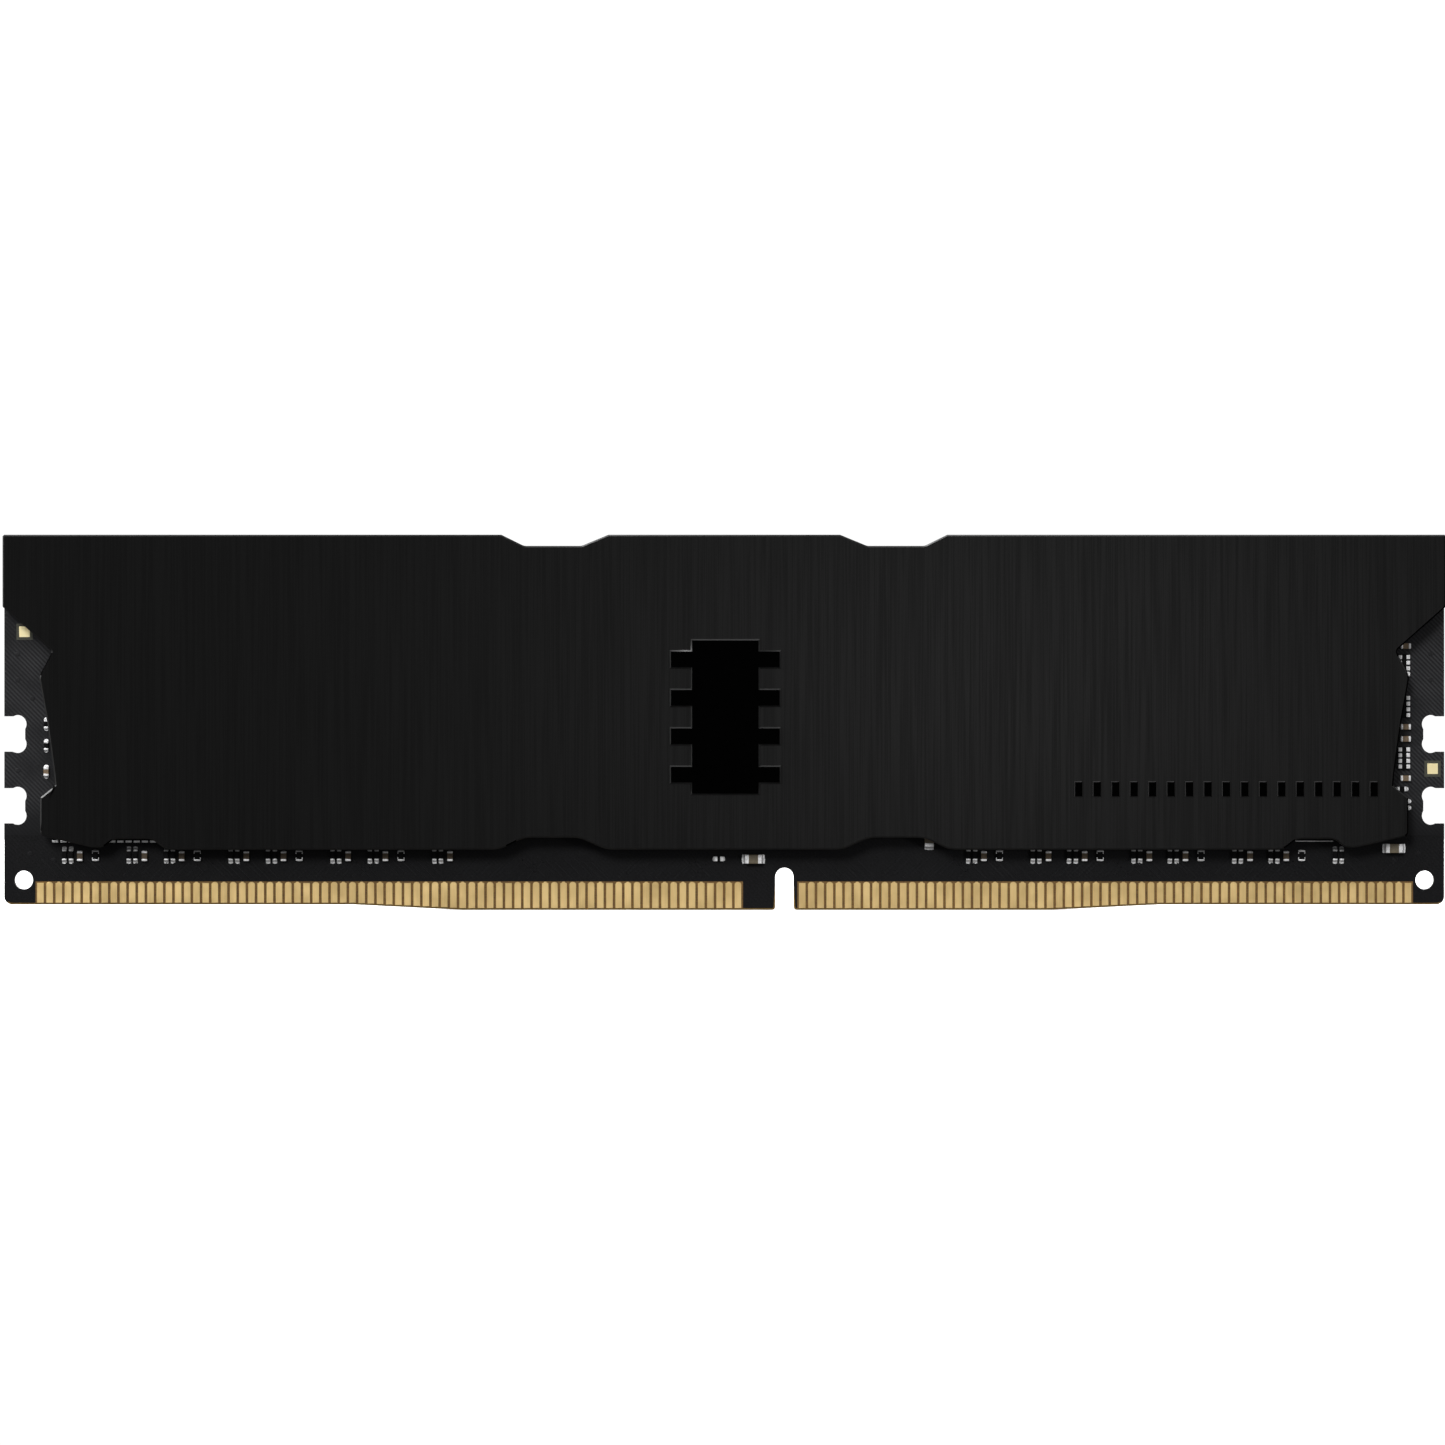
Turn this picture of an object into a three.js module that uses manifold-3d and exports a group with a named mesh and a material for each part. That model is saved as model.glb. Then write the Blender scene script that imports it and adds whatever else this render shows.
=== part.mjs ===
// A 288-contact desktop memory module between the two plates of a heat spreader.
//
// Lengths are millimetres and +Z is up. X runs along the module, to the right for someone
// looking at its front, and the front faces -Y. The origin is in the middle of the circuit
// board's thickness and length, level with the lowest part of the contact edge.

import * as THREE from 'three';
import { mergeVertices } from 'three/addons/utils/BufferGeometryUtils.js';
import Module from 'manifold-3d';

// Circuit board
const BOARD_LENGTH = 133.35;
const BOARD_HEIGHT = 31.25;
const BOARD_THICKNESS = 1.4;
const BOARD_CORNER_RADIUS = 0.75;
const END_LIFT = 0.5; // both ends of the contact edge sit this far above its middle
const RAMP_STARTS = [32.25, 107.05]; // from the board's left end, where the edge is lifted
const RAMP_ENDS = [42.45, 96.85]; // and where it is level with the middle

// Key notch, latch notches and corner holes
const KEY_X = 5.575;
const KEY_WIDTH = 1.7;
const KEY_HEIGHT = 3.9;
const KEY_MOUTH_RADIUS = 0.3;
const LATCH_DEPTH = 1.93;
const LATCH_HEIGHT = 3.27;
const LATCH_LOW_EDGES = [8.0, 14.65];
const LATCH_CORNER_RADIUS = 0.85;
const LATCH_CORNER_OVERCUT = 0.13;
const CORNER_HOLE_RADIUS = 0.87;
const CORNER_HOLE_INSET = 1.79;
const CORNER_HOLE_Z = 2.76;

// Contacts
const CONTACT_PITCH = 0.85;
const CONTACT_WIDTH = 0.66;
const CONTACT_THICKNESS = 0.06;
const CONTACT_TOP = 2.5;
const CONTACT_FOOT_GAP = 0.15;
const CONTACT_BAR_HEIGHT = 0.15;
const LEFT_CONTACTS = { first: 3.35, count: 77 }; // first contact's centre, from the left end
const RIGHT_CONTACTS = { first: 73.9, count: 67 };

// Memory packages, one row of eight on each face of the board
const PACKAGE_WIDTH = 7.5;
const PACKAGE_HEIGHT = 11;
const PACKAGE_TOP = 1.1; // above the board's face
const PACKAGE_STANDOFF = 0.25; // the solder balls under the package
const BALL_FIELD_MARGIN = 0.6;
const PACKAGE_Z = 12.4;
const PACKAGE_ROWS = [
  { first: -57.2, pitch: 9.43 },
  { first: 26.5, pitch: 9.33 },
];
const PACKAGES_PER_ROW = 4;

// Small parts: length by width by height above the board's face
const SMALL_PART = { length: 1.04, width: 0.56, height: 0.5 };
const BULK_PART = { length: 1.7, width: 0.85, height: 0.8 };
const ARRAY_PART = { length: 2.1, width: 1.1, height: 0.45 };
const EEPROM_PART = { length: 3, width: 2, height: 0.75 };

// Where they stand
const EEPROM_PLACE = { x: 9, z: 17 };
const CAPACITOR_OFFSETS = [-2.46, 3.52]; // from each package's middle
const CAPACITOR_Z = 4.98;
const BULK_PLACES = { centre: { x: 2.7, z: 4.7 }, right: { x: 62.02, z: 5.69 } };
const ARRAY_X = 62.95;
const ARRAY_LEVELS = [22.62, 18.83, 14.06];
const RIGHT_COLUMN_X = 63.1;
const RIGHT_COLUMN_LEVELS = [24.43, 16.95, 15.83, 12.19];
const LEFT_COLUMN_X = -62.78;
const LEFT_COLUMN_LEVELS = [15.2, 12.8];

// Gold marks that assembly machines align to
const FIDUCIAL_SIDE = 1;
const FIDUCIAL_PLACES = { left: { x: -64.8, z: 25.75 }, right: { x: 65.6, z: 13.07 } };

// Heat spreader
const PLATE_INNER = 2.3; // from the board's mid-plane to the plate's inner face
const PLATE_THICKNESS = 1;
const PLATE_OUTER = PLATE_INNER + PLATE_THICKNESS;
const PLATE_TOP = 34.7;
const PLATE_HALF_LENGTH = BOARD_LENGTH / 2;
const PLATE_SEAM = 0.3; // gap between the two folded top flanges
const TOP_NOTCH = { inner: 10.7, floorInner: 13.2, floorOuter: 18.5, outer: 20.6, depth: 1.03 };
const TOP_NOTCH_RADIUS = 0.9;
const LOW_EDGE = 5.6;

// Raised badge in the middle of the plate's outer face
const BADGE_THICKNESS = 0.2;
const BADGE_PLACE = { x: 0.1, z: 17.86 };
const BADGE_BODY = { width: 6.4, height: 14.4 };
const BADGE_LEG = { length: 1.95, height: 1.7, pitch: 3.55, count: 4 };

// Row of small raised bars at the plate's lower right
const BAR = { width: 0.75, height: 1.45, rise: 0.12, first: 32.7, pitch: 1.705, count: 17, z: 11.2 };

// The two faces of the module. "out" is the way the face points along Y, and "right" is the
// way that is to the right along X for someone looking at that face.
const FRONT = { name: 'front', out: -1, right: 1 };
const REAR = { name: 'rear', out: 1, right: -1 };

// Straight pieces in a drawn curve. An arc gets twice as many.
const CURVE_SEGMENTS = 6;
const FINE_CURVE_SEGMENTS = 12;

const wasm = await Module();
wasm.setup();

// An outline drawn in X and Z becomes a wall: drawing plane up, depth along Y.
const STAND_UP = new THREE.Matrix4().set(
  1, 0, 0, 0,
  0, 0, -1, 0,
  0, 1, 0, 0,
  0, 0, 0, 1,
);

const material = (color, roughness, metalness) => () =>
  new THREE.MeshStandardMaterial({ color, roughness, metalness });
const solderMask = material(0x1d1e22, 0.5, 0);
const gold = material(0xcdaf73, 0.3, 1);
const moulding = material(0x17171a, 0.6, 0);
const ceramic = material(0x8a7358, 0.45, 0);
const resistorBlack = material(0x202022, 0.5, 0);
const gapPad = material(0x8b9096, 0.9, 0);
const anodised = material(0x232323, 0.45, 0.8);
const glossBlack = material(0x050506, 0.12, 0);

// Extrudes an outline from one Y to another.
function wall(shape, fromY, toY, curveSegments = CURVE_SEGMENTS) {
  const depth = toY - fromY;
  const geometry = new THREE.ExtrudeGeometry(shape, { depth, bevelEnabled: false, curveSegments });
  geometry.applyMatrix4(STAND_UP);
  return geometry.translate(0, toY, 0);
}

// The same, with both distances measured outwards from the board's mid-plane.
function wallOnFace(shape, inner, outer, face) {
  const ends = [face.out * inner, face.out * outer];
  return wall(shape, Math.min(...ends), Math.max(...ends));
}

function solidOf(geometry) {
  const bare = geometry.clone();
  bare.deleteAttribute('normal');
  bare.deleteAttribute('uv');
  const merged = mergeVertices(bare);
  const vertProperties = Float32Array.from(merged.attributes.position.array);
  const triVerts = Uint32Array.from(merged.index.array);
  return new wasm.Manifold(new wasm.Mesh({ numProp: 3, vertProperties, triVerts }));
}

function geometryOf(solid) {
  const mesh = solid.getMesh();
  const geometry = new THREE.BufferGeometry();
  geometry.setAttribute('position', new THREE.BufferAttribute(mesh.vertProperties, 3));
  geometry.setIndex(new THREE.BufferAttribute(mesh.triVerts, 1));
  const facets = geometry.toNonIndexed();
  facets.computeVertexNormals();
  return facets;
}

function polygon(points) {
  return new THREE.Shape(points.map(([x, z]) => new THREE.Vector2(x, z)));
}

// A closed outline whose corners, each [x, z, radius], are rounded off.
function roundedPolygon(corners) {
  const points = corners.map(([x, z]) => new THREE.Vector2(x, z));
  const shape = new THREE.Shape();
  points.forEach((corner, i) => {
    const radius = corners[i][2];
    const back = points.at(i - 1).clone().sub(corner).normalize();
    const ahead = points[(i + 1) % points.length].clone().sub(corner).normalize();
    const reach = radius / Math.tan(Math.acos(back.dot(ahead)) / 2);
    const start = back.multiplyScalar(reach).add(corner);
    const end = ahead.multiplyScalar(reach).add(corner);
    if (i === 0) shape.moveTo(start.x, start.y);
    else shape.lineTo(start.x, start.y);
    if (radius > 0) shape.quadraticCurveTo(corner.x, corner.y, end.x, end.y);
  });
  return shape;
}

function rectangle(x, z, width, height) {
  const [left, right] = [x - width / 2, x + width / 2];
  const [low, high] = [z - height / 2, z + height / 2];
  return polygon([[left, low], [right, low], [right, high], [left, high]]);
}

function disc(x, z, radius) {
  return new THREE.Shape().absarc(x, z, radius, 0, 2 * Math.PI, false);
}

const memoryModule = new THREE.Group();

function add(name, geometry, makeMaterial) {
  const mesh = new THREE.Mesh(geometry, makeMaterial());
  mesh.name = name;
  memoryModule.add(mesh);
}

// ---- Circuit board ----

const fromLeftEnd = (distance) => distance - BOARD_LENGTH / 2;

function edgeHeight(x) {
  const [leftHigh, rightHigh] = RAMP_STARTS.map(fromLeftEnd);
  const [leftLow, rightLow] = RAMP_ENDS.map(fromLeftEnd);
  const left = (leftLow - x) / (leftLow - leftHigh);
  const right = (x - rightLow) / (rightHigh - rightLow);
  return END_LIFT * THREE.MathUtils.clamp(Math.max(left, right), 0, 1);
}

function boardOutline() {
  const end = BOARD_LENGTH / 2;
  const round = BOARD_CORNER_RADIUS;
  const [keyLeft, keyRight] = [KEY_X - KEY_WIDTH / 2, KEY_X + KEY_WIDTH / 2];
  const mouth = KEY_MOUTH_RADIUS;
  const keyCrown = KEY_HEIGHT - KEY_WIDTH / 2;
  const shape = new THREE.Shape();
  shape.moveTo(-end, BOARD_HEIGHT);
  shape.lineTo(-end, END_LIFT + round);
  shape.absarc(-end + round, END_LIFT + round, round, Math.PI, 1.5 * Math.PI, false);
  shape.lineTo(fromLeftEnd(RAMP_STARTS[0]), END_LIFT);
  shape.lineTo(fromLeftEnd(RAMP_ENDS[0]), 0);
  shape.lineTo(keyLeft - mouth, 0);
  shape.absarc(keyLeft - mouth, mouth, mouth, 1.5 * Math.PI, 2 * Math.PI, false);
  shape.absarc(KEY_X, keyCrown, KEY_WIDTH / 2, Math.PI, 0, true);
  shape.absarc(keyRight + mouth, mouth, mouth, Math.PI, 1.5 * Math.PI, false);
  shape.lineTo(fromLeftEnd(RAMP_ENDS[1]), 0);
  shape.lineTo(fromLeftEnd(RAMP_STARTS[1]), END_LIFT);
  shape.absarc(end - round, END_LIFT + round, round, 1.5 * Math.PI, 2 * Math.PI, false);
  shape.lineTo(end, BOARD_HEIGHT);
  return shape;
}

// A latch notch has round inner corners, each cut a little past both walls beside it.
function latchNotchShapes(side, lowEdge) {
  const end = side * BOARD_LENGTH / 2;
  const middle = lowEdge + LATCH_HEIGHT / 2;
  const cornerInset = LATCH_CORNER_RADIUS - LATCH_CORNER_OVERCUT;
  const cornerDepth = LATCH_DEPTH - cornerInset;
  const cornerRise = LATCH_HEIGHT / 2 - cornerInset;
  return [
    rectangle(end, middle, 2 * cornerDepth, LATCH_HEIGHT),
    rectangle(end, middle, 2 * LATCH_DEPTH, 2 * cornerRise),
    disc(end - side * cornerDepth, middle - cornerRise, LATCH_CORNER_RADIUS),
    disc(end - side * cornerDepth, middle + cornerRise, LATCH_CORNER_RADIUS),
  ];
}

function addBoard() {
  const half = BOARD_THICKNESS / 2;
  let board = solidOf(wall(boardOutline(), -half, half));
  const cuts = [];
  for (const side of [-1, 1]) {
    const holeX = side * (BOARD_LENGTH / 2 - CORNER_HOLE_INSET);
    cuts.push(disc(holeX, CORNER_HOLE_Z, CORNER_HOLE_RADIUS));
    for (const lowEdge of LATCH_LOW_EDGES) cuts.push(...latchNotchShapes(side, lowEdge));
  }
  for (const shape of cuts) {
    const cut = wall(shape, -BOARD_THICKNESS, BOARD_THICKNESS, FINE_CURVE_SEGMENTS);
    board = board.subtract(solidOf(cut));
  }
  add('board', geometryOf(board), solderMask);
}

// ---- Contacts ----

// One row of contacts, joined by a narrow plating bar across their upper ends. The contacts
// reach down to just above the board's stepped edge.
function contactRow({ first, count }) {
  const centres = Array.from({ length: count }, (_, i) => fromLeftEnd(first + i * CONTACT_PITCH));
  const half = CONTACT_WIDTH / 2;
  const barLow = CONTACT_TOP - CONTACT_BAR_HEIGHT;
  const points = [
    [centres[count - 1] + half, CONTACT_TOP],
    [centres[0] - half, CONTACT_TOP],
  ];
  centres.forEach((x, i) => {
    const foot = edgeHeight(x) + CONTACT_FOOT_GAP;
    if (i > 0) points.push([x - half, barLow]);
    points.push([x - half, foot], [x + half, foot]);
    if (i < count - 1) points.push([x + half, barLow]);
  });
  return polygon(points);
}

function addContacts(face) {
  const inner = BOARD_THICKNESS / 2;
  const outer = inner + CONTACT_THICKNESS;
  const rows = { left: LEFT_CONTACTS, right: RIGHT_CONTACTS };
  for (const [side, row] of Object.entries(rows)) {
    const geometry = wallOnFace(contactRow(row), inner, outer, face);
    add(`contacts_${face.name}_${side}`, geometry, gold);
  }
}

// ---- Parts soldered to the board ----

function packageCentres() {
  return PACKAGE_ROWS.flatMap(({ first, pitch }) =>
    Array.from({ length: PACKAGES_PER_ROW }, (_, i) => first + i * pitch));
}

// A moulded package on its field of solder balls, which is one smaller block here.
function packageGeometry(x, face) {
  const base = BOARD_THICKNESS / 2;
  const top = base + PACKAGE_TOP;
  const field = rectangle(
    x, PACKAGE_Z, PACKAGE_WIDTH - 2 * BALL_FIELD_MARGIN, PACKAGE_HEIGHT - 2 * BALL_FIELD_MARGIN);
  const body = rectangle(x, PACKAGE_Z, PACKAGE_WIDTH, PACKAGE_HEIGHT);
  const balls = solidOf(wallOnFace(field, base, top, face));
  return geometryOf(balls.add(solidOf(wallOnFace(body, base + PACKAGE_STANDOFF, top, face))));
}

function addPackages(face) {
  packageCentres().forEach((x, i) => {
    add(`dram_${face.name}_${i + 1}`, packageGeometry(x, face), moulding);
  });
}

// A small part soldered flat on one face of the board. Its length is along X or along Z.
function addSolderedPart(name, { length, width, height }, { x, z }, along, face, makeMaterial) {
  const shape = along === 'x' ? rectangle(x, z, length, width) : rectangle(x, z, width, length);
  const base = BOARD_THICKNESS / 2;
  add(name, wallOnFace(shape, base, base + height, face), makeMaterial);
}

function addFrontCapacitors() {
  const places = packageCentres().flatMap((x) => CAPACITOR_OFFSETS.map((offset) => x + offset));
  places.pop(); // the last package has no capacitor on its outer side
  places.forEach((x, i) => {
    const name = `capacitor_front_${i + 1}`;
    addSolderedPart(name, SMALL_PART, { x, z: CAPACITOR_Z }, 'z', FRONT, ceramic);
  });
  for (const [name, place] of Object.entries(BULK_PLACES)) {
    addSolderedPart(`bulk_capacitor_${name}`, BULK_PART, place, 'x', FRONT, ceramic);
  }
}

function addSideColumns() {
  ARRAY_LEVELS.forEach((z, i) => {
    const name = `resistor_array_${i + 1}`;
    addSolderedPart(name, ARRAY_PART, { x: ARRAY_X, z }, 'z', FRONT, resistorBlack);
  });
  RIGHT_COLUMN_LEVELS.forEach((z, i) => {
    const name = `side_capacitor_right_${i + 1}`;
    addSolderedPart(name, SMALL_PART, { x: RIGHT_COLUMN_X, z }, 'x', FRONT, ceramic);
  });
  LEFT_COLUMN_LEVELS.forEach((z, i) => {
    const name = `side_capacitor_left_${i + 1}`;
    addSolderedPart(name, SMALL_PART, { x: LEFT_COLUMN_X, z }, 'z', FRONT, ceramic);
  });
}

function addEeprom() {
  addSolderedPart('spd_eeprom', EEPROM_PART, EEPROM_PLACE, 'x', FRONT, moulding);
}

function addFiducials(face) {
  const inner = BOARD_THICKNESS / 2;
  for (const [side, { x, z }] of Object.entries(FIDUCIAL_PLACES)) {
    const mark = rectangle(x, z, FIDUCIAL_SIDE, FIDUCIAL_SIDE);
    const geometry = wallOnFace(mark, inner, inner + CONTACT_THICKNESS, face);
    add(`fiducial_${face.name}_${side}`, geometry, gold);
  }
}

// ---- Heat spreader ----

// A soft pad fills the space between the tops of the packages and the plate.
function addThermalPad(face) {
  const centres = packageCentres();
  const left = centres[0] - PACKAGE_WIDTH / 2;
  const right = centres[centres.length - 1] + PACKAGE_WIDTH / 2;
  const shape = rectangle((left + right) / 2, PACKAGE_Z, right - left, PACKAGE_HEIGHT);
  const inner = BOARD_THICKNESS / 2 + PACKAGE_TOP;
  add(`thermal_pad_${face.name}`, wallOnFace(shape, inner, PLATE_INNER, face), gapPad);
}

// Right-hand half of the plate's outline, from the middle of its lower edge to its top
// corner, as [x, z, corner radius]. The left-hand half is its mirror image.
const PLATE_HALF_OUTLINE = [
  [10.9, LOW_EDGE, 3], [13.4, 6.7, 3], [18.55, 6.7, 3], [20.75, LOW_EDGE, 3],
  [51.6, LOW_EDGE, 1.5], [52.9, 6.6, 1.5], [56.4, 6.6, 1.5], [57.4, 5.8, 1.2],
  [58.4, 5.8, 2], [63.2, 6.9, 0.5], [63.2, 10.4, 0.25], [61.8, 11.5, 0.2],
  [61.9, 12.6, 5], [62.55, 17.4, 8], [63.3, 21.6, 1.2], [62.3, 23.5, 0.8], [62.1, 24, 0.4],
  [PLATE_HALF_LENGTH, 28.05, 0.15], [PLATE_HALF_LENGTH, PLATE_TOP, 0],
];

function plateOutline() {
  const mirrored = PLATE_HALF_OUTLINE.map(([x, z, radius]) => [-x, z, radius]).reverse();
  return roundedPolygon([...PLATE_HALF_OUTLINE, ...mirrored]);
}

function topNotch(side) {
  const { inner, floorInner, floorOuter, outer, depth } = TOP_NOTCH;
  const floor = PLATE_TOP - depth;
  const above = PLATE_TOP + depth; // both slopes carry on above the plate, so the cut is clean
  const corners = [
    [2 * inner - floorInner, above, 0], [floorInner, floor, TOP_NOTCH_RADIUS],
    [floorOuter, floor, TOP_NOTCH_RADIUS], [2 * outer - floorOuter, above, 0],
  ];
  return roundedPolygon(corners.map(([x, z, radius]) => [side * x, z, radius]));
}

// A pictogram of a chip: an upright body with legs on both sides.
function badgeOutline(face) {
  const halfBody = BADGE_BODY.width / 2;
  const reach = halfBody + BADGE_LEG.length;
  const halfLeg = BADGE_LEG.height / 2;
  const top = BADGE_BODY.height / 2;
  const rightSide = [];
  for (let i = 0; i < BADGE_LEG.count; i += 1) {
    const z = (i - (BADGE_LEG.count - 1) / 2) * BADGE_LEG.pitch;
    rightSide.push([halfBody, z - halfLeg], [reach, z - halfLeg]);
    rightSide.push([reach, z + halfLeg], [halfBody, z + halfLeg]);
  }
  const half = [[halfBody, -top], ...rightSide, [halfBody, top]];
  const mirrored = half.map(([x, z]) => [-x, z]).reverse();
  const x0 = face.right * BADGE_PLACE.x;
  return polygon([...half, ...mirrored].map(([x, z]) => [x0 + x, BADGE_PLACE.z + z]));
}

function addPlate(face) {
  const flangeLow = PLATE_TOP - PLATE_THICKNESS;
  const flange = rectangle(
    0, (flangeLow + PLATE_TOP) / 2, 2 * PLATE_HALF_LENGTH, PLATE_THICKNESS);
  let plate = solidOf(wallOnFace(plateOutline(), PLATE_INNER, PLATE_OUTER, face));
  plate = plate.add(solidOf(wallOnFace(flange, PLATE_SEAM / 2, PLATE_OUTER, face)));
  for (const side of [-1, 1]) {
    plate = plate.subtract(solidOf(wallOnFace(topNotch(side), 0, 2 * PLATE_OUTER, face)));
  }
  const middle = (PLATE_INNER + PLATE_OUTER) / 2; // each bar's solid starts inside the plate
  for (let i = 0; i < BAR.count; i += 1) {
    const x = face.right * (BAR.first + i * BAR.pitch);
    const bar = rectangle(x, BAR.z, BAR.width, BAR.height);
    plate = plate.add(solidOf(wallOnFace(bar, middle, PLATE_OUTER + BAR.rise, face)));
  }
  add(`heatspreader_${face.name}`, geometryOf(plate), anodised);
}

// The gloss badge is stuck to the plate's outer face.
function addBadge(face) {
  const outer = PLATE_OUTER + BADGE_THICKNESS;
  add(`badge_${face.name}`, wallOnFace(badgeOutline(face), PLATE_OUTER, outer, face), glossBlack);
}

addBoard();
addFrontCapacitors();
addSideColumns();
addEeprom();
for (const face of [FRONT, REAR]) {
  addContacts(face);
  addPackages(face);
  addFiducials(face);
  addThermalPad(face);
  addPlate(face);
  addBadge(face);
}

export default memoryModule;
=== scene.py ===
"""The finished surface of a desktop memory module with a black brushed heat spreader.

The CAD model's nodes give their outlines and places. The small parts that it leaves out have
their places here. Shapes are worked out in millimetres, in the frame of the CAD model, and
turned into metres when a piece is made. X runs along the module, the front faces -Y, and Z is
up from the contact edge.
"""

import math
import random

import bmesh
import bpy
from mathutils import Matrix, Vector


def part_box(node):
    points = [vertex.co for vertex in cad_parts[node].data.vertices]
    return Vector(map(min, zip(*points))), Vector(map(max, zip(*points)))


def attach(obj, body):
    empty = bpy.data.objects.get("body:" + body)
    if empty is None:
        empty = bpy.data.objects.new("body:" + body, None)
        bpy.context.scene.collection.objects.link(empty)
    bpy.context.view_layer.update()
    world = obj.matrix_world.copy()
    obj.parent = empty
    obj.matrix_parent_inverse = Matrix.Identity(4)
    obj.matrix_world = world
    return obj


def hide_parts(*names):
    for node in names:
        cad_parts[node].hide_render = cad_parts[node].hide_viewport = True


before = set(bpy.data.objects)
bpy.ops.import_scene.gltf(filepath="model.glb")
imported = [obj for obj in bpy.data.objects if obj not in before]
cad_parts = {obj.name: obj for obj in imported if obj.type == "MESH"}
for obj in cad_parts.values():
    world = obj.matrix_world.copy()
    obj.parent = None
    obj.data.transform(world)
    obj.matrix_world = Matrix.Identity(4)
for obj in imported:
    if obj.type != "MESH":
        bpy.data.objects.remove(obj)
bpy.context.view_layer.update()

MM = 0.001
WELD = 0.002  # points and planes closer than this count as the same
FLAT = math.radians(0.5)  # neighbouring faces that differ by less than this are joined up
BEVELLED = math.radians(35)  # only edges that turn by more than this are bevelled
SHARP = math.radians(24)  # edges that turn by more than this are shaded as sharp
SQUARE = 0.9999  # a face normal's part along an axis, above which the face is square to it
FACING = 0.9  # a face normal's part along Y, above which the face looks to the front or rear
EDGE_ON = 0.3  # the same, below which the face is a cut edge

# ---------------------------------------------------------------- places in the CAD model


def box(node):
    """A CAD node's lowest and highest corners, in millimetres."""
    low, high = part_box(node)
    return Vector(low) / MM, Vector(high) / MM


def middle(node):
    low, high = box(node)
    return (low + high) / 2


def outer_face(node):
    """How far a CAD node reaches from the module's mid-plane."""
    low, high = box(node)
    return max(abs(low.y), abs(high.y))


BOARD_LOW, BOARD_HIGH = box("board")
BOARD_FACE = BOARD_HIGH.y  # from the module's mid-plane to the board's face
PLATE_TOP = box("heatspreader_rear")[1].z
BAR_FACE = outer_face("heatspreader_rear")  # the bars stand out further than the plate's face
PACKAGES = range(1, 9)

# The front is at -Y and the rear at +Y.
SIDES = {"front": -1, "rear": 1}
FRONT = SIDES["front"]

# ---------------------------------------------------------------- materials

HATCH_PITCH = 0.3  # between the lines of the copper mesh under the mask
POUR_FOOT = 6.9  # the copper mesh starts at this height
MASK_SHADE_RISE = 3.5  # from there, the mask's painted shade lightens over this distance
ROW_UNSHADED_TO = 4.92  # above this height the bottom row's solder is darkened with painted shade, for the plates' shadow
TIN_SHADE_FADE = 0.66  # over this distance that painted shade deepens, towards the plate


def grey(level):
    return (level, level, level)


def times(color, factors):
    return tuple(part * factor for part, factor in zip(color, factors))


class Material:
    """A Principled material and the nodes that give it its detail."""

    def __init__(self, name, color, roughness, metallic=0.0, specular=0.5):
        self.data = bpy.data.materials.new(name)
        self.data.use_nodes = True
        self.tree = self.data.node_tree
        self.shader = self.tree.nodes["Principled BSDF"]
        self.shader.inputs["Base Color"].default_value = (*color, 1)
        self.shader.inputs["Roughness"].default_value = roughness
        self.shader.inputs["Metallic"].default_value = metallic
        self.shader.inputs["Specular IOR Level"].default_value = specular
        self.place = self.node("ShaderNodeTexCoord").outputs["Object"]

    def node(self, kind, **inputs):
        """Adds a node. Inputs are numbers, or the outputs of other nodes."""
        node = self.tree.nodes.new(kind)
        for name, value in inputs.items():
            self.feed(node.inputs[name.replace("_", " ")], value)
        return node

    def feed(self, socket, value):
        if isinstance(value, bpy.types.NodeSocket):
            self.tree.links.new(value, socket)
        else:
            socket.default_value = value

    def noise(self, grain, detail=3.0, distortion=0.0):
        """Noise whose grain along X, Y and Z is in millimetres."""
        scale = [1 / (size * MM) for size in grain]
        stretched = self.node("ShaderNodeMapping", Vector=self.place, Scale=scale).outputs[0]
        noise = self.node(
            "ShaderNodeTexNoise", Vector=stretched, Scale=1.0, Detail=detail, Distortion=distortion)
        return noise.outputs["Fac"]

    def ramp(self, value, stops):
        """A colour ramp through (position, colour) stops."""
        node = self.node("ShaderNodeValToRGB", Fac=value)
        elements = node.color_ramp.elements
        while len(elements) < len(stops):
            elements.new(0.5)
        for element, (position, color) in zip(elements, stops):
            element.position = position
            element.color = (*color, 1)
        return node.outputs["Color"]

    def spread(self, value, low, high, from_low=0.3, from_high=0.7):
        """Maps noise onto a range of numbers."""
        node = self.node("ShaderNodeMapRange", Value=value)
        node.inputs["From Min"].default_value = from_low
        node.inputs["From Max"].default_value = from_high
        node.inputs["To Min"].default_value = low
        node.inputs["To Max"].default_value = high
        return node.outputs["Result"]

    def math(self, operation, *values):
        node = self.tree.nodes.new("ShaderNodeMath")
        node.operation = operation
        for socket, value in zip(node.inputs, values):
            self.feed(socket, value)
        return node.outputs[0]

    def blend(self, main, other, share):
        """One noise mixed with a share of another."""
        return self.math("MULTIPLY_ADD", other, share, self.math("MULTIPLY", main, 1 - share))

    def split(self):
        """The place's X, Y and Z, in metres."""
        return self.node("ShaderNodeSeparateXYZ", Vector=self.place).outputs

    def color(self, value):
        self.feed(self.shader.inputs["Base Color"], value)

    def roughness(self, value):
        self.feed(self.shader.inputs["Roughness"], value)

    def bump(self, height, depth, strength=1.0):
        """Height from 0 to 1 stands for a depth in millimetres."""
        node = self.node("ShaderNodeBump", Height=height, Strength=strength, Distance=depth * MM)
        self.feed(self.shader.inputs["Normal"], node.outputs["Normal"])


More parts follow.
